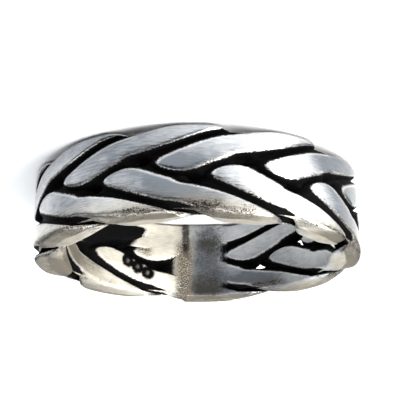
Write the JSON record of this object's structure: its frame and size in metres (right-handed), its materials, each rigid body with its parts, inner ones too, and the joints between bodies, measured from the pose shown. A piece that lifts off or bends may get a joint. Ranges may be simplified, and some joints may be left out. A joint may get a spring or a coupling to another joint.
{
  "type": "braided band ring",
  "caption": "Finger ring made as a flat braid of silver strands, filed flat inside and out, dark in its recesses, closed by a soldered joint at the back.",
  "frame": {"origin": "centre of the ring's lower side, where it rests", "axes": "+Z along the finger, -Y towards the front of the band, +Y towards the soldered joint"},
  "size_m": [0.0226, 0.0226, 0.0059],
  "materials": {
    "antiqued_silver": "satin polished silver on the filed faces, blackened and pitted in the recesses",
    "soldered_silver": "filed solder, grainy and slightly brown"
  },
  "bodies": {
    "root": {"strand_1": "antiqued_silver", "strand_2": "antiqued_silver", "strand_3": "antiqued_silver", "strand_4": "antiqued_silver", "strand_5": "antiqued_silver", "solder_joint": "soldered_silver"}
  },
  "joints": []
}
